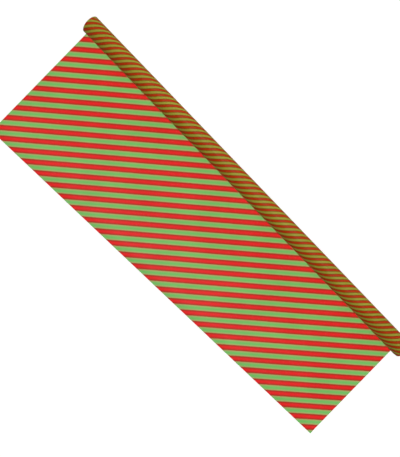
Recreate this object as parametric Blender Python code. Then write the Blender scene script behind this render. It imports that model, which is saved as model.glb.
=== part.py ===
"""A roll of gift wrapping paper, partly unrolled on a table.

One paper web is wound on a spiral-wound board core. The last turns of the web lie flat on the
table in front of the roll. Units are metres, +Z is up, and X runs along the roll's axis.
The origin is on the table, under the middle of the unrolled sheet. The roll lies towards +Y.
"""

import math

import bmesh
import bpy
from mathutils import Vector

MM = 0.001

# The paper web
WEB_WIDTH = 762 * MM
PAPER_THICKNESS = 0.1 * MM
LEAD_LENGTH = 232 * MM  # unrolled, along the web's centre line
ASKEW = math.radians(1.9)  # between the web's edges and a square departure from the roll
CUT_SKEW = math.radians(0.75)  # the free edge was cut this much out of square
WANDER = 3.75 * MM  # how far the turns drift sideways on the roll, each way

# The wound roll
ROLL_RADIUS = 16.35 * MM
WOUND_THICKNESS = 2.35 * MM

# The core tube
PLY_THICKNESS = 0.35 * MM
PLY_PITCH = 80 * MM  # along the axis, for each turn of a ply
PLY_SEAM = 0.6 * MM  # open butt seam between a ply's edges
PLY_NAMES = ("core_outer_ply", "core_middle_ply", "core_inner_ply")

# The glue line that holds the start of the web on the core
GLUE_MARGIN = 20 * MM  # left free at each edge of the web
GLUE_WIDTH = 7 * MM
GLUE_THICKNESS = 0.1 * MM

# The strip of web that turns up under the roll
BEND_FLAT = 12 * MM
BEND_WRAP = math.radians(24)
BEND_STEPS = 8

CLEARANCE = 0.3 * MM
ROLL_STEPS = 96
PLY_STEPS = 24

# Worked out
LINER = CLEARANCE + GLUE_THICKNESS + CLEARANCE  # from the core to the first turn
WOUND_INNER_RADIUS = ROLL_RADIUS - WOUND_THICKNESS
CORE_RADIUS = WOUND_INNER_RADIUS - LINER
WOUND_LENGTH = WEB_WIDTH + 2 * WANDER
CORE_LENGTH = WEB_WIDTH  # the tube is cut with the web
GLUE_LENGTH = WEB_WIDTH - 2 * GLUE_MARGIN
AXIS_Y = LEAD_LENGTH / 2 * math.cos(ASKEW)
AXIS_Z = PAPER_THICKNESS + CLEARANCE + ROLL_RADIUS
NIP_X = -WANDER  # the web leaves the roll at one end of its wander
BOTTOM = -math.pi / 2  # the direction from the roll's axis to the table

PAPER_INSIDE = (0.76, 0.28, 0.16)
PAPER_OUTSIDE = (0.42, 0.18, 0.04)
BOARD = (0.55, 0.42, 0.28)
GLUE = (0.85, 0.78, 0.55)


def clear_scene():
    for obj in list(bpy.data.objects):
        bpy.data.objects.remove(obj, do_unlink=True)


def make_material(name, colour, roughness):
    material = bpy.data.materials.new(name)
    material.use_nodes = True
    shader = material.node_tree.nodes["Principled BSDF"]
    shader.inputs["Base Color"].default_value = (*colour, 1)
    shader.inputs["Roughness"].default_value = roughness
    shader.inputs["Metallic"].default_value = 0
    material.diffuse_color = (*colour, 1)
    return material


def make_empty(name, location, parent=None):
    empty = bpy.data.objects.new(name, None)
    bpy.context.scene.collection.objects.link(empty)
    empty.empty_display_size = 20 * MM
    place(empty, location, parent)
    return empty


def place(obj, location, parent=None):
    """Puts obj at a point of the world, under parent."""
    offset = Vector(parent["at"]) if parent else Vector()
    obj["at"] = list(location)
    obj.parent = parent
    obj.location = Vector(location) - offset


def make_object(name, mesh_data, material, location, parent=None):
    """Closes a bmesh into an object whose origin is at location."""
    bmesh.ops.recalc_face_normals(mesh_data, faces=mesh_data.faces)
    mesh = bpy.data.meshes.new(name)
    mesh_data.to_mesh(mesh)
    mesh_data.free()
    mesh.shade_smooth()
    mesh.set_sharp_from_angle(angle=math.radians(30))
    mesh.materials.append(material)
    obj = bpy.data.objects.new(name, mesh)
    bpy.context.scene.collection.objects.link(obj)
    place(obj, location, parent)
    return obj


def around(radius, angle, x=0.0):
    """A point at this radius and angle around the roll's axis."""
    return (x, radius * math.cos(angle), radius * math.sin(angle))


def extrude_along_x(mesh_data, length):
    """Turns flat faces in a YZ plane into a solid that reaches length along +X."""
    made = bmesh.ops.extrude_face_region(mesh_data, geom=list(mesh_data.faces))
    moved = [v for v in made["geom"] if isinstance(v, bmesh.types.BMVert)]
    bmesh.ops.translate(mesh_data, verts=moved, vec=(length, 0, 0))


def arc_strip(mesh_data, x, inner, outer, start, sweep, steps):
    """Flat faces of a strip that follows an arc around the axis."""
    angles = [start + sweep * i / steps for i in range(steps + 1)]
    low = [mesh_data.verts.new(around(inner, a, x)) for a in angles]
    high = [mesh_data.verts.new(around(outer, a, x)) for a in angles]
    for i in range(steps):
        mesh_data.faces.new((low[i], low[i + 1], high[i + 1], high[i]))
    return low, high


def build_paper_sheet(material):
    """The web that lies on the table: four-sided, since it leaves askew and was cut askew."""
    half = WEB_WIDTH / 2 / math.cos(ASKEW)
    run = math.tan(ASKEW)
    near_y = AXIS_Y - BEND_FLAT - CLEARANCE
    cut = math.tan(ASKEW + CUT_SKEW)
    middle_x = NIP_X + AXIS_Y * run * 2
    middle_y = -AXIS_Y
    corners = []
    for side in (-1, 1):
        near_x = NIP_X + side * half + (AXIS_Y - near_y) * run
        # where the side line x = near_x + (near_y - y) * run meets the free edge
        far_y = (middle_y + (near_x + near_y * run - middle_x) * cut) / (1 + run * cut)
        far_x = near_x + (near_y - far_y) * run
        corners.append(((near_x, near_y), (far_x, far_y)))
    (near_left, far_left), (near_right, far_right) = corners
    data = bmesh.new()
    outline = [data.verts.new((x, y, 0)) for x, y in (near_left, far_left, far_right, near_right)]
    made = bmesh.ops.extrude_face_region(data, geom=[data.faces.new(outline)])
    top = [v for v in made["geom"] if isinstance(v, bmesh.types.BMVert)]
    bmesh.ops.translate(data, verts=top, vec=(0, 0, PAPER_THICKNESS))
    return make_object("paper_sheet", data, material, (0, 0, 0))


def build_paper_bend(material, parent):
    """The strip of web under the roll: flat up to the contact line, then curling up behind it."""
    inner = ROLL_RADIUS + CLEARANCE
    outer = inner + PAPER_THICKNESS
    data = bmesh.new()
    x = NIP_X - WEB_WIDTH / 2
    low, high = arc_strip(data, x, inner, outer, BOTTOM, BEND_WRAP, BEND_STEPS)
    flat_low = data.verts.new((x, -BEND_FLAT, -inner))
    flat_high = data.verts.new((x, -BEND_FLAT, -outer))
    data.faces.new((flat_low, low[0], high[0], flat_high))
    extrude_along_x(data, WEB_WIDTH)
    return make_object("paper_bend", data, material, (0, AXIS_Y, AXIS_Z), parent)


def build_paper_windings(material, parent):
    """The wound web. Both its faces step in by one thickness of paper at the line where it leaves."""
    steps = ROLL_STEPS
    data = bmesh.new()
    x = -WOUND_LENGTH / 2
    outer, inner = [], []
    for i in range(steps + 1):
        angle = BOTTOM + 2 * math.pi * i / steps
        drop = PAPER_THICKNESS * i / steps
        outer_radius = ROLL_RADIUS - drop
        inner_radius = WOUND_INNER_RADIUS + PAPER_THICKNESS - drop
        outer.append(data.verts.new(around(outer_radius, angle, x)))
        inner.append(data.verts.new(around(inner_radius, angle, x)))
    data.faces.new((outer[0], outer[1], inner[1], inner[0], outer[steps]))
    for i in range(1, steps - 1):
        data.faces.new((outer[i], outer[i + 1], inner[i + 1], inner[i]))
    data.faces.new((outer[steps - 1], outer[steps], inner[0], inner[steps], inner[steps - 1]))
    extrude_along_x(data, WOUND_LENGTH)
    return make_object("paper_windings", data, material, (0, AXIS_Y, AXIS_Z), parent)


def build_ply(name, index, material, parent):
    """One ply of the core: a strip of board wound in a helix and cut square at the tube's ends."""
    outer = CORE_RADIUS - index * (PLY_THICKNESS + CLEARANCE)
    inner = outer - PLY_THICKNESS
    turns = math.ceil(CORE_LENGTH / PLY_PITCH) + 2
    start = -turns * PLY_PITCH / 2 + PLY_PITCH * index / len(PLY_NAMES)
    width = PLY_PITCH - PLY_SEAM
    data = bmesh.new()
    before = None
    for i in range(turns * PLY_STEPS + 1):
        angle = 2 * math.pi * i / PLY_STEPS
        x = start + PLY_PITCH * (i / PLY_STEPS - 0.5)
        corners = ((inner, x), (inner, x + width), (outer, x + width), (outer, x))
        ring = [data.verts.new(around(radius, angle, along)) for radius, along in corners]
        if before:
            for a in range(4):
                b = (a + 1) % 4
                data.faces.new((before[a], before[b], ring[b], ring[a]))
        else:
            data.faces.new(ring)
        before = ring
    data.faces.new(before)
    for side in (-1, 1):
        made = bmesh.ops.bisect_plane(
            data,
            geom=[*data.verts, *data.edges, *data.faces],
            plane_co=(side * CORE_LENGTH / 2, 0, 0),
            plane_no=(side, 0, 0),
            clear_outer=True,
        )
        rim = [e for e in made["geom_cut"] if isinstance(e, bmesh.types.BMEdge)]
        bmesh.ops.contextual_create(data, geom=rim)
    return make_object(name, data, material, (0, AXIS_Y, AXIS_Z), parent)


def build_glue_line(material, parent):
    """The thin line of glue between the core and the start of the web."""
    inner = CORE_RADIUS + CLEARANCE
    outer = inner + GLUE_THICKNESS
    sweep = GLUE_WIDTH / inner
    data = bmesh.new()
    arc_strip(data, -GLUE_LENGTH / 2, inner, outer, BOTTOM - sweep, sweep, 4)
    extrude_along_x(data, GLUE_LENGTH)
    return make_object("start_glue_line", data, material, (0, AXIS_Y, AXIS_Z), parent)


def main():
    clear_scene()
    inside = make_material("paper_inside", PAPER_INSIDE, 0.45)
    outside = make_material("paper_outside", PAPER_OUTSIDE, 0.4)
    board = make_material("core_board", BOARD, 0.9)
    glue = make_material("glue", GLUE, 0.3)
    travel = make_empty("roll_travel_frame", (0, AXIS_Y, 0))
    spin = make_empty("roll_spin_axis", (0, AXIS_Y, AXIS_Z), travel)
    build_paper_sheet(inside)
    build_paper_bend(outside, travel)
    build_paper_windings(outside, spin)
    for index, name in enumerate(PLY_NAMES):
        build_ply(name, index, board, spin)
    build_glue_line(glue, spin)


main()
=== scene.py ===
"""Looks for the gift wrapping paper roll: striped paper printed on both faces, on a board core.

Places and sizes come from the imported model, in metres. X runs along the roll's axis, +Y from the
sheet's free edge towards the roll, and +Z up from the table.
"""

import math

import bmesh
import bpy
import numpy as np
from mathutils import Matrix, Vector, noise


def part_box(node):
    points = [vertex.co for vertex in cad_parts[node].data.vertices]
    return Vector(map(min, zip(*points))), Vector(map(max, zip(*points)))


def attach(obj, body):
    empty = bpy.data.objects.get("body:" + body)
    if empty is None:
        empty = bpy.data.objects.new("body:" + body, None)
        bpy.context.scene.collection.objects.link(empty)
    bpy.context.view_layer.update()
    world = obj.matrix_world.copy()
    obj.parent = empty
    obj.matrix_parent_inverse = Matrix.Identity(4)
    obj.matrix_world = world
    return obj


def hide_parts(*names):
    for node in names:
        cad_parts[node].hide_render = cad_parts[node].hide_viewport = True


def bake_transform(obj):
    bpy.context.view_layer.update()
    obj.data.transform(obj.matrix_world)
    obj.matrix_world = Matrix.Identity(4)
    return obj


MM = 0.001
BOTTOM = -math.pi / 2  # the direction from the roll's axis to the table
SHARP_ANGLE = math.radians(40)

# The paper
PAPER = 0.1 * MM
TURNS = 23

# The unrolled sheet
SHEET_ACROSS = 150
SHEET_ALONG = 60
SHEET_TO_CONTACT = 4  # steps from the CAD sheet's near edge to the contact line
SHEET_WAVE = 0.35 * MM
WAVE_FADE_AT_ROLL = 60 * MM
WAVE_FADE_AT_EDGE = 30 * MM
EDGE_CURL = 1.6 * MM
EDGE_CURL_REACH = 22 * MM
LIFT_REACH = 40 * MM  # over which the sheet rises to where it meets the roll
HUG_WRAP = math.radians(22)  # how far round the roll the sheet's end reaches
HUG_STEPS = 10
HUG_GAP = 0.25 * PAPER  # between the roll and the sheet, at the contact line
HUG_THINNING = 0.7  # share of the paper's thickness that the hidden end loses

# The wound turns
OUTER_AROUND = 120
OUTER_ALONG = 110
OUTER_WAVE = 0.07 * MM
OUTER_DRIFT = 2.5 * MM  # sideways, between the contact line and the top of the roll
INNER_AROUND = 72
INNER_THICKNESS = 0.82 * PAPER  # leaves a gap between turns
INNER_LOOSENESS = 0.12 * PAPER
INNER_START = OUTER_WAVE + 1.6 * PAPER  # below the roll's surface
INNER_END = 0.35 * MM  # above the core

# The core's plies
PLY_NODES = ("core_outer_ply", "core_middle_ply", "core_inner_ply")
PLY_STEPS = 64
PLY_PITCH = 80 * MM
PLY_SEAM = 0.6 * MM
PLY_THICKNESS = 0.58 * MM
PLY_GAP = 0.07 * MM
SHORTEST_CUT = 0.01 * MM  # a ply's strip ends where the tube's end leaves less than this

# The glue line
GLUE_STEPS = 240
GLUE_TAPER = 6  # steps at each end
GLUE_HALF_WIDTH = 2.6 * MM
GLUE_UNEVEN = 0.7 * MM
GLUE_SWAY = 0.4 * MM
GLUE_OFFSET = 3.5 * MM  # round the core, from its lowest line
GLUE_LOW = 0.02 * MM  # above the core
GLUE_HIGH = 0.30 * MM
GLUE_CROWN = ((-1, 0.35), (-0.5, 0.85), (0, 1.0), (0.5, 0.85), (1, 0.35))  # across, and how high

# The print on the inside of the web, which lies up on the sheet
INSIDE_PITCH = 18.28 * MM  # across the stripes
INSIDE_SLANT = math.radians(41.35)  # from the roll's axis towards +Y
INSIDE_SHIFT = -0.0115
INSIDE_BOW = -0.56  # the print bows across the web,
INSIDE_BOW_GROWTH = -1.0  # a little more towards its +X side

# The print on the outside of the web
OUTSIDE_PITCH = 12.78 * MM  # along the roll's axis
OUTSIDE_PER_TURN = 8
OUTSIDE_SHIFT = 0.165
OUTSIDE_TIGHTEN = 23.0  # stripes draw closer together towards the roll's ends

# The depth of the surfaces' relief
COCKLE = 0.5 * MM
FIBRE = 0.05 * MM
BOARD_RELIEF = 0.12 * MM
GLUE_RELIEF = 0.15 * MM

# The scales of the surfaces' noise, in features to a metre
PATCH_SCALE = 14
GRAIN_SCALE = 2600
FIBRE_SCALE = 900
HOLE_SCALE = 2400
CUT_FIBRE_SCALE = 1800
BOARD_FIBRE_SCALE = 1300
BOARD_CLOUD_SCALE = 90
BOARD_SPECK_SCALE = 2200
GLUE_LUMP_SCALE = 420
RAGGED_SCALE = 700
RAGGED_EDGE = 0.05  # how uneven the stripes' edges are, as a share of a stripe

# The floor, the room and the lights
FLOOR_DROP = 0.15 * MM
FLOOR_GLOW = 0.96
SWEEP_FLAT = 6.0
SWEEP_BEND = 2.0
SWEEP_TOP = 7.0
SWEEP_BEND_STEPS = 8
SWEEP_STEPS = 64
HORIZON_GLOW = 0.35
ZENITH_GLOW = 0.15
HORIZON_END = 0.12  # the room dims between these two heights of the view direction
ZENITH_START = 0.5
SHEET_SUN = 3.83
SUN_DISTANCE = 2.0
SUN_SPREAD = math.radians(12)
KEY_POWER = 9
TOP_POWER = 18.5
FILL_POWER = 1.2
END_POWER = 9
BOX_DISTANCE = 1.6
BOX_LENGTH = 1.6
BOX_WIDTH = 0.5

# The camera looks straight down
CAMERA_HEIGHT = 0.80
CAMERA_FORWARD = -0.106  # from above the roll's axis, towards the sheet
CAMERA_SIDE = -0.004
CAMERA_TURN = math.radians(46.13)
LENS = 36.31
SENSOR_WIDTH = 36

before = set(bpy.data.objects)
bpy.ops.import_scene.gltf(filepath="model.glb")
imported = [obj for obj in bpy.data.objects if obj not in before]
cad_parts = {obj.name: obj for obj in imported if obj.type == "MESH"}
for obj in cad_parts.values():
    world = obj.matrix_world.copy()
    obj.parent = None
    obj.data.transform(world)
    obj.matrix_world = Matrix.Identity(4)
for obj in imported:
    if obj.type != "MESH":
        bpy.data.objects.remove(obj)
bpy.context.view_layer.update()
wound_low, wound_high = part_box("paper_windings")
AXIS = (wound_low + wound_high) / 2
RADIUS = (wound_high.z - wound_low.z) / 2
bend_low, bend_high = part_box("paper_bend")
WEB_WIDTH = bend_high.x - bend_low.x
WANDER = (wound_high.x - wound_low.x - WEB_WIDTH) / 2
core_low, core_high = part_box("core_outer_ply")
CORE_RADIUS = (core_high.y - core_low.y) / 2


# ---------------------------------------------------------------- geometry

def loft(name, rings, slots, materials, closed=False):
    """A solid through equal rings of points. Each ring runs along one side of a strip and back
    along the other, so the ends close with one row of faces. slots gives each ring edge's material."""
    count = len(rings[0])
    points = [p for ring in rings for p in ring]
    faces, indices = [], []
    last = len(rings) if closed else len(rings) - 1
    for i in range(last):
        a, b = i * count, (i + 1) % len(rings) * count
        for j in range(count):
            k = (j + 1) % count
            faces.append((a + j, a + k, b + k, b + j))
            indices.append(slots[j])
    if not closed:
        for start, flip in ((0, True), ((len(rings) - 1) * count, False)):
            for j in range(count // 2 - 1):
                quad = (start + j, start + j + 1, start + count - 2 - j, start + count - 1 - j)
                faces.append(quad[::-1] if flip else quad)
                indices.append(slots[-1])
    mesh = bpy.data.meshes.new(name)
    mesh.from_pydata(points, [], faces)
    for material in materials:
        mesh.materials.append(material)
    mesh.polygons.foreach_set("material_index", indices)
    mesh.validate()
    mesh.update()
    mesh.shade_smooth()
    mesh.set_sharp_from_angle(angle=SHARP_ANGLE)
    obj = bpy.data.objects.new(name, mesh)
    bpy.context.scene.collection.objects.link(obj)
    return fix_normals(obj)


def fix_normals(obj):
    """Turns the solid's faces outward if its signed volume says that they point in."""
    mesh = obj.data
    mesh.calc_loop_triangles()
    points = np.array([v.co for v in mesh.vertices])
    corners = points[np.array([t.vertices[:] for t in mesh.loop_triangles])]
    volume = np.einsum("ij,ij->i", corners[:, 0], np.cross(corners[:, 1], corners[:, 2])).sum()
    if volume < 0:
        mesh.flip_normals()
    return obj


def around(radius, angle, x):
    """A point at this radius and angle around the roll's axis."""
    return (x, AXIS.y + radius * math.cos(angle), AXIS.z + radius * math.sin(angle))


def smooth(t):
    """Rises from 0 to 1, level at both ends."""
    t = min(max(t, 0.0), 1.0)
    return t * t * (3 - 2 * t)


def wobble(x, y, z):
    """Smooth noise about zero, the same on each run."""
    return noise.noise(Vector((x, y, z)))


def web_slots(across):
    """Ring edge materials of a strip with this many points across: 0 one face, 1 the other, 2 edges."""
    return [0] * (across - 1) + [2] + [1] * (across - 1) + [2]


def strip_ring(outer, inner, left, right, angle):
    """The four corners of a thin strip at this angle around the roll's axis."""
    return [
        around(outer, angle, left), around(outer, angle, right),
        around(inner, angle, right), around(inner, angle, left),
    ]


def sheet_corners():
    """The CAD sheet's corners on the table: (near left, near right, far left, far right)."""
    points = {(round(v.co.x, 5), round(v.co.y, 5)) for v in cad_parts["paper_sheet"].data.vertices}
    by_y = sorted(points, key=lambda p: -p[1])
    return [Vector((*p, 0)) for p in sorted(by_y[:2]) + sorted(by_y[2:])]


def sheet_rise(x, y, from_edge, from_bend):
    """How far the unrolled paper stands off the table: faint waves, and a slight curl at its free edge."""
    wave = wobble(x * 9, y * 5, 1.7) + 0.5 * wobble(x * 21, y * 17, 4.1)
    fade = smooth(from_bend / WAVE_FADE_AT_ROLL) * smooth(from_edge / WAVE_FADE_AT_EDGE)
    curl = 0.7 + 0.3 * wobble(x * 6, 0.3, 8.0)
    lifted = EDGE_CURL * curl * (1 - min(from_edge / EDGE_CURL_REACH, 1.0)) ** 2
    return max(SHEET_WAVE * (0.6 + 0.5 * wave) * fade + lifted, 0.0)


def lying_ring(low):
    """A ring across the lying sheet, from the points of its underside."""
    return [(x, y, z + PAPER) for x, y, z in low] + low[::-1]


def build_sheet(materials):
    """The unrolled length of the web and the strip that turns up under the roll, as one sheet."""
    near_left, near_right, far_left, far_right = sheet_corners()
    left_side, right_side = near_left - far_left, near_right - far_right
    left_way, right_way = left_side.normalized(), right_side.normalized()
    to_contact = AXIS.y - near_left.y
    hug = RADIUS + PAPER / 2 + HUG_GAP
    contact = AXIS.z - hug - PAPER / 2
    shares = [j / SHEET_ACROSS for j in range(SHEET_ACROSS + 1)]

    def lift(y):
        """How high the underside is raised here to meet the roll."""
        return contact * smooth(1 - (AXIS.y - y) / LIFT_REACH)

    def x_beyond(share, run):
        """Where along X the web is, this share of its width across and run past the near edge."""
        way = left_way.lerp(right_way, share)
        return near_left.lerp(near_right, share).x + way.x * run / way.y

    rings = []
    for i in range(SHEET_ALONG + 1):
        t = i / SHEET_ALONG
        left, right = far_left.lerp(near_left, t), far_right.lerp(near_right, t)
        low = []
        for share in shares:
            p = left.lerp(right, share)
            rise = sheet_rise(p.x, p.y, left_side.length * t, near_left.y - p.y)
            low.append((p.x, p.y, rise + lift(p.y)))
        rings.append(lying_ring(low))
    for k in range(1, SHEET_TO_CONTACT + 1):
        run = to_contact * k / SHEET_TO_CONTACT
        y = near_left.y + run
        rings.append(lying_ring([(x_beyond(share, run), y, lift(y)) for share in shares]))
    for k in range(1, HUG_STEPS + 1):
        done = k / HUG_STEPS
        angle = BOTTOM + HUG_WRAP * done
        run = to_contact + hug * HUG_WRAP * done
        half = PAPER * (1 - HUG_THINNING * done) / 2
        middle = hug - HUG_GAP * done
        top = [around(middle - half, angle, x_beyond(share, run)) for share in shares]
        low = [around(middle + half, angle, x_beyond(share, run)) for share in shares]
        rings.append(top + low[::-1])
    obj = loft("unrolled_paper", rings, web_slots(SHEET_ACROSS + 1), materials)
    length = (left_side.length + right_side.length) / 2 + to_contact + hug * HUG_WRAP
    return obj, length


def build_outer_turn(materials):
    """The outermost turn, a closed skin so that the roll looks whole however far it has turned."""
    rings = []
    for i in range(OUTER_AROUND):
        angle = BOTTOM + 2 * math.pi * i / OUTER_AROUND
        drift = OUTER_DRIFT * (1 - math.cos(angle - BOTTOM)) / 2
        left = AXIS.x - WANDER - WEB_WIDTH / 2 + drift
        outer, inner = [], []
        for j in range(OUTER_ALONG + 1):
            x = left + WEB_WIDTH * j / OUTER_ALONG
            wave = wobble(x * 11, math.cos(angle) * 1.3, math.sin(angle) * 1.3)
            radius = RADIUS - OUTER_WAVE * (0.5 + 0.5 * wave)
            outer.append(around(radius, angle, x))
            inner.append(around(radius - PAPER, angle, x))
        rings.append(outer + inner[::-1])
    return loft("wound_outer_turn", rings, web_slots(OUTER_ALONG + 1), materials, closed=True)


def turn_offset(turn):
    """How far along the roll a turn lies from the middle: the turns wander as they were wound."""
    wide = -math.cos(math.pi * turn / 7.0) * math.exp(-turn / 14.0)
    fine = 0.25 * wobble(turn * 1.9, 3.3, 0.7)
    return WANDER * max(-1.0, min(1.0, wide + fine * smooth(turn)))


def build_inner_turns(materials):
    """All the turns below the outermost, one spiral strip down to the core."""
    outer = RADIUS - INNER_START
    inner = CORE_RADIUS + INNER_END
    rings = []
    for i in range(TURNS * INNER_AROUND + 1):
        turn = i / INNER_AROUND
        angle = BOTTOM + 2 * math.pi * turn
        loose = INNER_LOOSENESS * wobble(math.cos(angle), math.sin(angle), turn * 0.8)
        radius = outer + (inner - outer) * turn / TURNS + loose
        left = AXIS.x + turn_offset(turn + 1) - WEB_WIDTH / 2
        rings.append(strip_ring(radius, radius - INNER_THICKNESS, left, left + WEB_WIDTH, angle))
    return loft("wound_inner_turns", rings, web_slots(2), materials)


def build_ply(name, index, material):
    """One helical strip of the core, cut square where the tube ends."""
    outer = CORE_RADIUS - index * (PLY_THICKNESS + PLY_GAP)
    inner = outer - PLY_THICKNESS
    half = (core_high.x - core_low.x) / 2
    turns = math.ceil(2 * half / PLY_PITCH) + 2
    start = -turns * PLY_PITCH / 2 + PLY_PITCH * index / len(PLY_NODES)
    rings = []
    for i in range(turns * PLY_STEPS + 1):
        angle = 2 * math.pi * i / PLY_STEPS
        x = start + PLY_PITCH * (i / PLY_STEPS - 0.5)
        left = min(max(x, -half), half)
        right = min(max(x + PLY_PITCH - PLY_SEAM, -half), half)
        if right - left >= SHORTEST_CUT:
            rings.append(strip_ring(outer, inner, left, right, angle))
    return loft(name, rings, web_slots(2), [material] * 3)


def build_glue(material):
    """A thin uneven line of glue between the core and the first turn."""
    low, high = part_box("start_glue_line")
    base, crown = CORE_RADIUS + GLUE_LOW, GLUE_HIGH - GLUE_LOW
    middle = BOTTOM - GLUE_OFFSET / CORE_RADIUS
    rings = []
    for i in range(GLUE_STEPS + 1):
        x = low.x + (high.x - low.x) * i / GLUE_STEPS
        taper = smooth(min(i, GLUE_STEPS - i) / GLUE_TAPER)
        width = (GLUE_HALF_WIDTH + GLUE_UNEVEN * wobble(x * 90, 0, 0)) * (0.3 + 0.7 * taper)
        sway = GLUE_SWAY * wobble(x * 25, 5, 0)
        angles = [middle + (sway + width * across) / CORE_RADIUS for across, _ in GLUE_CROWN]
        top = [around(base + crown * up, angle, x) for angle, (_, up) in zip(angles, GLUE_CROWN)]
        bottom = [around(base, angle, x) for angle in angles]
        rings.append(top + bottom[::-1])
    return loft("glue_line", rings, web_slots(len(GLUE_CROWN)), [material] * 3)


# ---------------------------------------------------------------- materials

class Nodes:
    """Short calls for building a material's nodes."""

    def __init__(self, name, roughness):
        self.material = bpy.data.materials.new(name)
        self.material.use_nodes = True
        self.tree = self.material.node_tree
        self.shader = self.tree.nodes["Principled BSDF"]
        self.plain("Roughness", roughness)

    def add(self, kind, **settings):
        node = self.tree.nodes.new(kind)
        for key, value in settings.items():
            setattr(node, key, value)
        return node

    def link(self, value, socket):
        if isinstance(value, bpy.types.NodeSocket):
            self.tree.links.new(value, socket)
        else:
            socket.default_value = value

    def math(self, operation, *values):
        node = self.add("ShaderNodeMath", operation=operation)
        for value, socket in zip(values, node.inputs):
            self.link(value, socket)
        return node.outputs[0]

    def ramp(self, value, low, high, to_low=0.0, to_high=1.0):
        node = self.add("ShaderNodeMapRange", interpolation_type="SMOOTHSTEP")
        for x, socket in zip((value, low, high, to_low, to_high), node.inputs):
            self.link(x, socket)
        return node.outputs[0]

    def mix(self, factor, a, b, blend="MIX"):
        node = self.add("ShaderNodeMix", data_type="RGBA", blend_type=blend)
        self.link(factor, node.inputs[0])
        self.link(a, node.inputs[6])
        self.link(b, node.inputs[7])
        return node.outputs[2]

    def place(self):
        return self.add("ShaderNodeTexCoord").outputs["Object"]

    def place_xyz(self):
        split = self.add("ShaderNodeSeparateXYZ")
        self.link(self.place(), split.inputs[0])
        return split.outputs

    def scaled(self, vector, scale):
        node = self.add("ShaderNodeVectorMath", operation="MULTIPLY")
        self.link(vector, node.inputs[0])
        node.inputs[1].default_value = scale
        return node.outputs[0]

    def noise(self, vector, scale, detail=2.0, rough=0.5):
        node = self.add("ShaderNodeTexNoise")
        self.link(vector, node.inputs["Vector"])
        node.inputs["Scale"].default_value = scale
        node.inputs["Detail"].default_value = detail
        node.inputs["Roughness"].default_value = rough
        return node.outputs["Fac"]

    def bump(self, height, distance, strength, normal=None):
        node = self.add("ShaderNodeBump")
        node.inputs["Strength"].default_value = strength
        node.inputs["Distance"].default_value = distance
        self.link(height, node.inputs["Height"])
        if normal is not None:
            self.link(normal, node.inputs["Normal"])
        return node.outputs["Normal"]

    def set(self, socket, value):
        """Links a value that varies over the surface to the shader."""
        self.link(value, self.shader.inputs[socket])

    def plain(self, socket, value):
        """Gives the shader one value for the whole surface."""
        self.shader.inputs[socket].default_value = value


def rgb(r, g, b):
    return (r, g, b, 1.0)


def flat_phase(n):
    """Counts stripes across the unrolled sheet, whose print bows a little across the web."""
    x, y, _ = n.place_xyz()
    across = n.math("MULTIPLY", y, math.cos(INSIDE_SLANT) / INSIDE_PITCH)
    along = n.math("MULTIPLY", x, -math.sin(INSIDE_SLANT) / INSIDE_PITCH)
    bend = n.math("ADD", n.math("MULTIPLY", x, INSIDE_BOW_GROWTH), INSIDE_BOW)
    bow = n.math("MULTIPLY", n.math("MULTIPLY", x, x), bend)
    return n.math("ADD", n.math("ADD", across, along), n.math("ADD", bow, INSIDE_SHIFT))


def wound_count(n, x, turn):
    """Counts stripes on the outside print: along the roll, plus turn, the count around it."""
    cube = n.math("MULTIPLY", n.math("MULTIPLY", x, x), n.math("MULTIPLY", x, OUTSIDE_TIGHTEN))
    along = n.math("ADD", n.math("MULTIPLY", x, 1 / OUTSIDE_PITCH), cube)
    return n.math("ADD", n.math("ADD", along, turn), OUTSIDE_SHIFT)


def wound_phase(n):
    """A whole number of stripes to a turn, so that the print meets itself."""
    x, y, z = n.place_xyz()
    angle = n.math("ARCTAN2", n.math("SUBTRACT", AXIS.y, y), n.math("SUBTRACT", z, AXIS.z))
    return wound_count(n, x, n.math("MULTIPLY", angle, OUTSIDE_PER_TURN / (2 * math.pi)))


def underside_phase(n):
    """The outside print on the sheet's lower face, in step with the roll's at the contact line."""
    x, y, _ = n.place_xyz()
    per_metre = OUTSIDE_PER_TURN / (2 * math.pi * RADIUS)
    back = n.math("MULTIPLY", n.math("SUBTRACT", y, AXIS.y), per_metre)
    return wound_count(n, x, n.math("SUBTRACT", back, OUTSIDE_PER_TURN / 2))


def stripes(n, phase, inks):
    """Inks from the middle of one stripe, at 0, to the middle of the next, at 1."""
    jitter = n.math("SUBTRACT", n.noise(n.place(), RAGGED_SCALE, 3, 0.6), 0.5)
    ragged = n.math("MULTIPLY", jitter, RAGGED_EDGE)
    saw = n.math("FRACT", n.math("ADD", phase, ragged))
    side = n.math("MULTIPLY", n.math("ABSOLUTE", n.math("SUBTRACT", saw, 0.5)), 2)
    node = n.add("ShaderNodeValToRGB")
    stops = node.color_ramp.elements
    while len(stops) < len(inks):
        stops.new(0.5)
    for stop, (position, colour) in zip(stops, inks):
        stop.position = position
        stop.color = colour
    n.link(side, node.inputs[0])
    return node.outputs["Color"]


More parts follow.
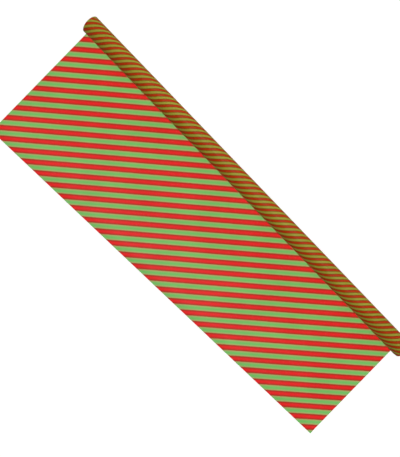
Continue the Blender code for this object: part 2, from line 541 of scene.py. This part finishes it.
def paper_finish(n, colour, fade, cockle_scale, rough_low, rough_high):
    """Ink laid on coated paper: uneven cover with pin-holes, fibre relief, cockling and patchy gloss."""
    place = n.place()
    patch = n.noise(place, PATCH_SCALE, 3, 0.55)
    grain = n.noise(place, GRAIN_SCALE, 2, 0.7)
    fibre = n.noise(n.scaled(place, (1, 2.3, 1)), FIBRE_SCALE, 4, 0.75)
    cockle = n.noise(n.scaled(place, cockle_scale), 1, 2, 0.5)
    tone = n.ramp(patch, 0.3, 0.7, 1 - fade, 1.0)
    speckle = n.ramp(grain, 0.25, 0.75, 1 - fade, 1.0)
    cover = n.math("MULTIPLY", tone, speckle)
    grey = n.add("ShaderNodeCombineColor")
    for socket in grey.inputs:
        n.link(cover, socket)
    inked = n.mix(1.0, colour, grey.outputs[0], "MULTIPLY")
    holes = n.ramp(n.noise(place, HOLE_SCALE, 1, 0.3), 0.72, 0.80, 0.0, 0.35)
    n.set("Base Color", n.mix(holes, inked, rgb(0.75, 0.62, 0.45)))
    dullness = n.math("ADD", n.math("MULTIPLY", fibre, 0.6), n.math("MULTIPLY", patch, 0.4))
    n.set("Roughness", n.ramp(dullness, 0.35, 0.65, rough_low, rough_high))
    waves = n.bump(cockle, COCKLE, 1.0)
    relief = n.math("ADD", n.math("MULTIPLY", fibre, 0.7), n.math("MULTIPLY", grain, 0.3))
    n.set("Normal", n.bump(relief, FIBRE, 0.7, waves))


def make_inside_print():
    """Broad stripes of bright red and green, with a darker edge on the red and a tan one on the green."""
    n = Nodes("inside_print", 0.45)
    inks = (
        (0.0, rgb(0.72, 0.012, 0.011)),
        (0.20, rgb(0.66, 0.012, 0.010)),
        (0.34, rgb(0.41, 0.017, 0.006)),
        (0.47, rgb(0.31, 0.035, 0.012)),
        (0.52, rgb(0.35, 0.20, 0.070)),
        (0.63, rgb(0.34, 0.37, 0.118)),
        (0.78, rgb(0.19, 0.440, 0.115)),
        (1.0, rgb(0.138, 0.455, 0.102)),
    )
    paper_finish(n, stripes(n, flat_phase(n), inks), 0.07, (16, 22, 1), 0.38, 0.54)
    n.plain("Specular IOR Level", 0.2)
    return n.material


def make_outer_print_with_painted_shade(name, phase_maker):
    """Narrow stripes of rust and olive, with a dark line between them. The inks are partly painted shade:
    darker and warmer than the inside print's red and green, standing in for the shade on the wound roll.
    """
    n = Nodes(name, 0.4)
    # painted shade: these inks are darker, warmer copies of the red and green, for the shade that falls on
    # the roll
    inks = (
        (0.0, rgb(0.455, 0.037, 0.001)),
        (0.34, rgb(0.43, 0.030, 0.001)),
        (0.46, rgb(0.13, 0.022, 0.001)),
        (0.53, rgb(0.19, 0.12, 0.010)),
        (0.62, rgb(0.32, 0.28, 0.026)),
        (1.0, rgb(0.315, 0.325, 0.036)),
    )
    paper_finish(n, stripes(n, phase_maker(n), inks), 0.12, (30, 60, 60), 0.34, 0.50)
    n.plain("Specular IOR Level", 0.09)
    return n.material


def make_bare_paper():
    """The cut edges, where the white paper between the two prints shows."""
    n = Nodes("bare_paper", 0.8)
    fibre = n.noise(n.scaled(n.place(), (6, 1, 1)), CUT_FIBRE_SCALE, 4, 0.7)
    n.set("Base Color", n.mix(fibre, rgb(0.62, 0.52, 0.42), rgb(0.86, 0.82, 0.75)))
    n.set("Normal", n.bump(fibre, FIBRE, 0.6))
    return n.material


def make_board(name, dark, light, stretch):
    """Recycled board: long fibres, specks and a dull surface."""
    n = Nodes(name, 0.9)
    place = n.scaled(n.place(), (1, 1.4, stretch))
    long_fibre = n.noise(n.scaled(place, (0.35, 1, 1)), BOARD_FIBRE_SCALE, 5, 0.7)
    cloud = n.noise(place, BOARD_CLOUD_SCALE, 3, 0.5)
    speck = n.ramp(n.noise(place, BOARD_SPECK_SCALE, 1, 0.4), 0.66, 0.74)
    colour = n.mix(n.ramp(long_fibre, 0.3, 0.7), dark, light)
    colour = n.mix(n.math("MULTIPLY", cloud, 0.25), colour, rgb(0.30, 0.24, 0.17))
    colour = n.mix(n.math("MULTIPLY", speck, 0.5), colour, rgb(0.12, 0.09, 0.06))
    n.set("Base Color", colour)
    n.set("Roughness", n.ramp(long_fibre, 0.2, 0.8, 0.82, 0.96))
    n.set("Normal", n.bump(long_fibre, BOARD_RELIEF, 0.6))
    return n.material


def make_boards():
    """The core's three boards, from the outer ply to the inner."""
    return [
        make_board("kraft_board", rgb(0.30, 0.19, 0.10), rgb(0.50, 0.35, 0.20), 1.4),
        make_board("grey_board", rgb(0.26, 0.22, 0.17), rgb(0.46, 0.40, 0.32), 1.6),
        make_board("inner_board", rgb(0.31, 0.23, 0.15), rgb(0.52, 0.41, 0.28), 1.8),
    ]


def make_dried_glue():
    """Lumpy, yellowed glue that lets a little light through."""
    n = Nodes("dried_glue", 0.25)
    lumps = n.noise(n.place(), GLUE_LUMP_SCALE, 3, 0.5)
    n.set("Base Color", n.mix(lumps, rgb(0.55, 0.42, 0.20), rgb(0.82, 0.74, 0.52)))
    n.set("Normal", n.bump(lumps, GLUE_RELIEF, 0.7))
    n.plain("Transmission Weight", 0.25)
    return n.material


def make_pale_floor():
    """A glowing white floor, as behind a cut-out catalogue picture."""
    n = Nodes("pale_floor", 0.9)
    n.plain("Base Color", rgb(0.5, 0.5, 0.5))
    n.plain("Specular IOR Level", 0.0)
    n.plain("Emission Color", rgb(1.0, 1.0, 1.0))
    n.plain("Emission Strength", FLOOR_GLOW)
    return n.material


# ---------------------------------------------------------------- scene

def from_vertical(degrees):
    """A direction that leans from straight up towards +Y."""
    angle = math.radians(degrees)
    return (0, math.sin(angle), math.cos(angle))


def add_light(name, kind, direction, distance, strength, pieces):
    """A light that shines from a direction onto the middle of the roll, and only on these pieces."""
    data = bpy.data.lights.new(name, kind)
    data.energy = strength
    light = bpy.data.objects.new(name, data)
    bpy.context.scene.collection.objects.link(light)
    away = Vector(direction).normalized()
    light.location = Vector((0, AXIS.y, AXIS.z)) + away * distance
    light.rotation_euler = (-away).to_track_quat("-Z", "Y").to_euler()
    lit = bpy.data.collections.new(name + "_pieces")
    for piece in pieces:
        lit.objects.link(piece)
    light.light_linking.receiver_collection = lit
    return light


def build_lights(sheet, roll_pieces):
    """Lights the sheet from its free edge's side, away from the roll's shadow, and the roll by itself."""
    sun = add_light("sheet_light", "SUN", from_vertical(-35), SUN_DISTANCE, SHEET_SUN, [sheet])
    sun.data.angle = SUN_SPREAD
    boxes = (
        ("key_light", from_vertical(45), KEY_POWER, True),
        ("top_light", from_vertical(8), TOP_POWER, True),
        ("fill_light", from_vertical(-80), FILL_POWER, True),
        ("left_end_light", (-1, 0, 0.1), END_POWER, False),
        ("right_end_light", (1, 0, 0.1), END_POWER, False),
    )
    for name, direction, power, shows_in_gloss in boxes:
        box = add_light(name, "AREA", direction, BOX_DISTANCE, power, roll_pieces)
        box.visible_glossy = shows_in_gloss
        box.data.shape = "RECTANGLE"
        box.data.size = BOX_LENGTH
        box.data.size_y = BOX_WIDTH


def build_world():
    """A dim white room: brighter round the horizon than overhead."""
    world = bpy.data.worlds.new("studio")
    world.use_nodes = True
    tree = world.node_tree
    place = tree.nodes.new("ShaderNodeTexCoord")
    split = tree.nodes.new("ShaderNodeSeparateXYZ")
    fade = tree.nodes.new("ShaderNodeMapRange")
    tree.links.new(place.outputs["Generated"], split.inputs[0])
    tree.links.new(split.outputs["Z"], fade.inputs["Value"])
    fade.inputs["From Min"].default_value = HORIZON_END
    fade.inputs["From Max"].default_value = ZENITH_START
    fade.inputs["To Min"].default_value = HORIZON_GLOW
    fade.inputs["To Max"].default_value = ZENITH_GLOW
    tree.links.new(fade.outputs[0], tree.nodes["Background"].inputs["Strength"])
    tree.nodes["Background"].inputs["Color"].default_value = rgb(1, 1, 1)
    bpy.context.scene.world = world


def build_floor():
    """A seamless sweep: flat around the object, and curving up to a wall on every side of it."""
    profile = [(0, 0), (SWEEP_FLAT, 0)]
    for k in range(1, SWEEP_BEND_STEPS + 1):
        angle = math.pi / 2 * k / SWEEP_BEND_STEPS
        profile.append((SWEEP_FLAT + SWEEP_BEND * math.sin(angle), SWEEP_BEND * (1 - math.cos(angle))))
    profile.append((SWEEP_FLAT + SWEEP_BEND, SWEEP_TOP))
    sweep = bmesh.new()
    edge = [sweep.verts.new((x, 0, z)) for x, z in profile]
    lines = [sweep.edges.new(pair) for pair in zip(edge, edge[1:])]
    bmesh.ops.spin(
        sweep, geom=edge + lines, axis=(0, 0, 1), cent=(0, 0, 0),
        angle=2 * math.pi, steps=SWEEP_STEPS, use_merge=True,
    )
    bmesh.ops.remove_doubles(sweep, verts=sweep.verts, dist=0.1 * MM)
    bmesh.ops.recalc_face_normals(sweep, faces=sweep.faces)
    mesh = bpy.data.meshes.new("floor")
    sweep.to_mesh(mesh)
    sweep.free()
    mesh.shade_smooth()
    mesh.materials.append(make_pale_floor())
    floor = bpy.data.objects.new("floor", mesh)
    floor.location = (0, 0, -FLOOR_DROP)
    # it glows for the camera, and neither lights the object nor shows in its gloss
    floor.visible_diffuse = False
    floor.visible_glossy = False
    bpy.context.scene.collection.objects.link(floor)


def build_camera():
    data = bpy.data.cameras.new("camera")
    data.lens = LENS
    data.sensor_width = SENSOR_WIDTH
    camera = bpy.data.objects.new("camera", data)
    bpy.context.scene.collection.objects.link(camera)
    camera.location = (CAMERA_SIDE, AXIS.y + CAMERA_FORWARD, CAMERA_HEIGHT)
    camera.rotation_euler = (0, 0, CAMERA_TURN)
    bpy.context.scene.camera = camera


def add_core():
    """Builds the core's plies, and ties them to the roll."""
    plies = []
    for index, (node, board) in enumerate(zip(PLY_NODES, make_boards())):
        ply = build_ply(node + "_board", index, board)
        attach(ply, "roll")
        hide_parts(node)
        plies.append(ply)
    return plies


def add_glue():
    """Builds the glue line, and ties it to the roll."""
    glue = build_glue(make_dried_glue())
    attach(glue, "roll")
    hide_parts("start_glue_line")
    return glue


def tie_turns(outer_turn, inner_turns):
    """Lets the wound turns ride on the roll."""
    for turn in (outer_turn, inner_turns):
        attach(turn, "roll")
    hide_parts("paper_windings")


def tie_sheet(sheet):
    """Keeps the sheet where it lies, with its placement baked into its mesh, and hides the CAD pieces that
    it replaces.
    """
    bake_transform(sheet)
    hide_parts("paper_sheet", "paper_bend")


def main():
    build_camera()
    inside = make_inside_print()
    # both outside print materials carry painted shade in their darker, warmer inks
    outside = make_outer_print_with_painted_shade("outer_print_painted_shade", wound_phase)
    underside = make_outer_print_with_painted_shade("underside_print_painted_shade", underside_phase)
    bare = make_bare_paper()
    sheet, length = build_sheet([inside, underside, bare])
    outer_turn = build_outer_turn([outside, inside, bare])
    inner_turns = build_inner_turns([outside, inside, bare])
    plies = add_core()
    glue = add_glue()
    tie_turns(outer_turn, inner_turns)
    tie_sheet(sheet)
    build_floor()
    build_world()
    build_lights(sheet, [outer_turn, inner_turns, glue, *plies])
    bpy.context.scene.view_settings.view_transform = "Standard"


main()
